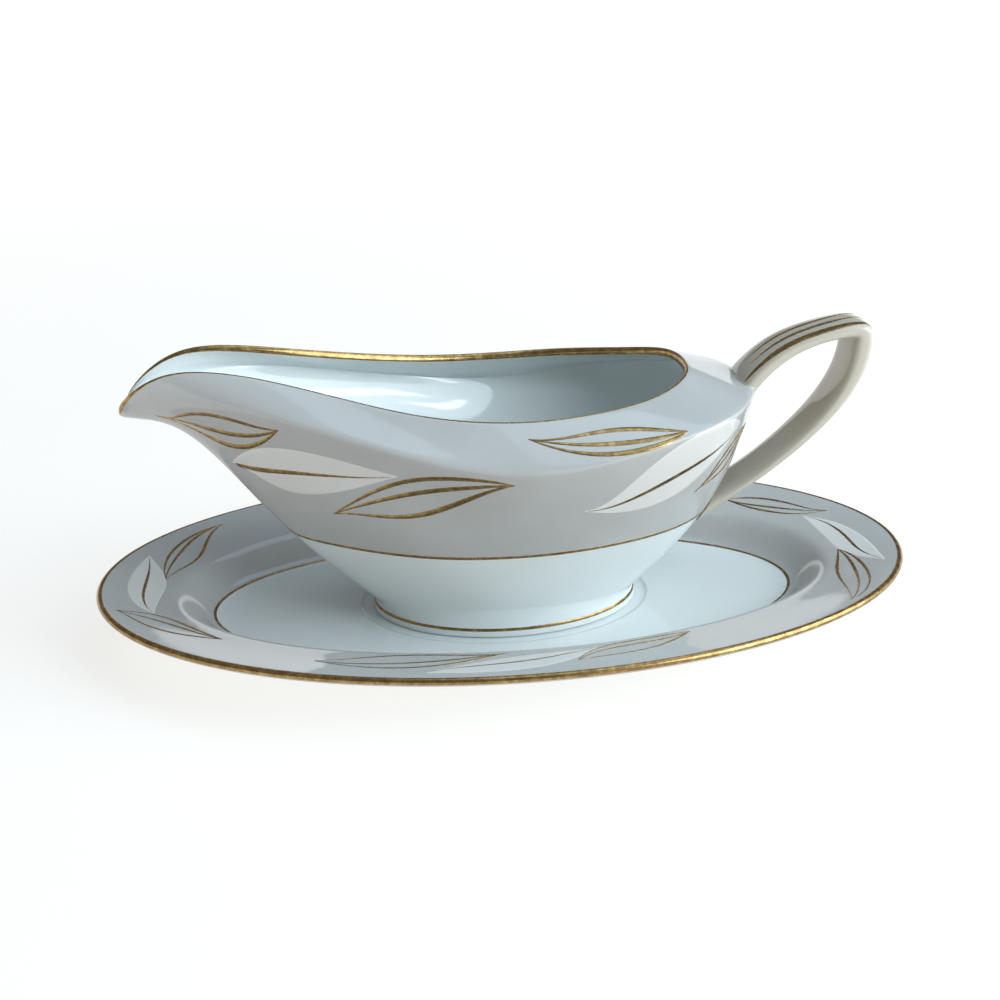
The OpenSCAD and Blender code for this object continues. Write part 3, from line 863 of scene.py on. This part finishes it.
finish_with(glaze("china_white_and_grey", WHITE_GLAZE, GREY_GLAZE), bowl, plate)
finish_with(glaze("china_handle", HANDLE_GLAZE), handle)
finish_with(glaze("china_leaf", LEAF_WHITE), *(p[1] for p in leaf_pieces.values()))
finish_with(
    gilding("fired_gold"),
    rim_gold, belly_gold, foot_gold, handle_gold, plate_edge_gold, well_gold,
    *(p[0] for p in leaf_pieces.values()),
)
finish_with(bare_china("ground_china"), dish_ground, bowl_ground)


# --- stage, light and camera ---
def pale_floor():
    """Matt pale floor with a painted glow that stands in for light: weaker near the part, as painted shade
    round it, and a little stronger far from it, where the lights fade.
    """
    n = Nodes("pale_floor")
    colour = (0.34, 0.34, 0.34)
    tones = [(0.3, shade(colour, 0.985)), (0.7, colour)]
    n.link(n.ramp(n.noise(3, 3), tones), n.shader.inputs["Base Color"])
    n.shader.inputs["Roughness"].default_value = 0.8
    away_from_part = n.tree.nodes.new("ShaderNodeVectorMath")
    away_from_part.operation = "LENGTH"
    n.link(n.place, away_from_part.inputs[0])
    reach = n.span(away_from_part.outputs["Value"], 0.3, 1.8, 0, 1)
    # Painted light: the floor glows, less near the part as painted shade and more far off as painted light
    glow = n.ramp(reach, [(0, (0.69, 0.68, 0.655)), (1, (0.92, 0.91, 0.90))])
    n.link(glow, n.shader.inputs["Emission Color"])
    n.shader.inputs["Emission Strength"].default_value = 1.0
    return n.material


FLOOR_RADIUS, FLOOR_CURVE, FLOOR_COLS = 3.4, 0.75, 96
floor_profile = [(0.4, 0.0), (1.5, 0.0), (FLOOR_RADIUS - FLOOR_CURVE, 0.0)]
floor_profile += [
    (FLOOR_RADIUS - FLOOR_CURVE * (1 - math.sin(a)), FLOOR_CURVE * (1 - math.cos(a)))
    for a in np.radians(np.arange(5, 91, 5))
]
compass = 2 * np.pi * np.arange(FLOOR_COLS) / FLOOR_COLS
floor_points = [(r * math.cos(a), r * math.sin(a), z) for r, z in floor_profile for a in compass]
floor_faces = [list(map(int, f[::-1])) for f in quads(len(floor_profile), FLOOR_COLS)]
floor_faces.append(list(range(FLOOR_COLS)))
mesh = bpy.data.meshes.new("floor")
mesh.from_pydata(floor_points, [], floor_faces)
mesh.shade_smooth()
floor = bpy.data.objects.new("floor", mesh)
bpy.context.scene.collection.objects.link(floor)
floor.data.materials.append(pale_floor())


def softbox(name, place, width, height, watts, colour):
    """Rectangular light aimed at the middle of the boat."""
    light = bpy.data.lights.new(name, "AREA")
    light.shape, light.size, light.size_y = "RECTANGLE", width, height
    light.energy, light.color = watts, colour
    obj = bpy.data.objects.new(name, light)
    bpy.context.scene.collection.objects.link(obj)
    obj.location = place
    obj.rotation_euler = (Vector(MIDDLE) - obj.location).to_track_quat("-Z", "Y").to_euler()


MIDDLE = (0, 0, 0.045)
softbox("window", (1.19, -0.49, 0.72), 1.65, 1.3, 33, (0.78, 0.91, 1.0))
softbox("pane_near", (0.62, -0.62, 0.62), 0.07, 0.2, 0.35, (0.95, 0.98, 1.0))
softbox("pane_far", (0.72, -0.50, 0.62), 0.07, 0.2, 0.35, (0.95, 0.98, 1.0))
softbox("top", (0.3, 0.1, 1.15), 1.0, 0.8, 3.7, (0.62, 0.82, 1.0))

# Sky: warm near the horizon, cool overhead
SKY_STRENGTH = 0.46
SKY = ((0.1, (0.34, 0.28, 0.22)), (0.7, (0.57, 0.65, 0.72)))
world = bpy.data.worlds.new("studio")
bpy.context.scene.world = world
world.use_nodes = True
tree = world.node_tree
background = tree.nodes["Background"]
where = tree.nodes.new("ShaderNodeTexCoord")
split = tree.nodes.new("ShaderNodeSeparateXYZ")
tree.links.new(where.outputs["Generated"], split.inputs[0])
ramp = tree.nodes.new("ShaderNodeValToRGB")
for stop, (at, colour) in zip(ramp.color_ramp.elements, SKY):
    stop.position = at
    stop.color = (*colour, 1)
tree.links.new(split.outputs["Z"], ramp.inputs["Fac"])
tree.links.new(ramp.outputs["Color"], background.inputs["Color"])
background.inputs["Strength"].default_value = SKY_STRENGTH

# Camera at the photograph's viewing angle
CAMERA_PLACE = (-0.02099, -0.35868, 0.17687)
CAMERA_AZIMUTH, CAMERA_ELEVATION, CAMERA_ROLL = -3.315, 21.189, -2.169
lens = bpy.data.cameras.new("camera")
lens.sensor_width = 36
lens.lens = 46.8
camera = bpy.data.objects.new("camera", lens)
bpy.context.scene.collection.objects.link(camera)
azimuth, elevation, roll = (math.radians(v) for v in (CAMERA_AZIMUTH, CAMERA_ELEVATION, CAMERA_ROLL))
right = np.array([math.cos(azimuth), math.sin(azimuth), 0.0])
level = np.array([math.sin(azimuth), -math.cos(azimuth), 0.0])
back = math.cos(elevation) * level + math.sin(elevation) * np.array([0, 0, 1.0])
up = np.cross(back, right)
right, up = (
    math.cos(roll) * right + math.sin(roll) * up,
    -math.sin(roll) * right + math.cos(roll) * up,
)
turned = Matrix(np.stack([right, up, back], 1).tolist()).to_4x4()
camera.matrix_world = Matrix.Translation(CAMERA_PLACE) @ turned
lens.clip_start, lens.clip_end = 0.01, 50
bpy.context.scene.camera = camera
bpy.context.scene.view_settings.view_transform = "Standard"
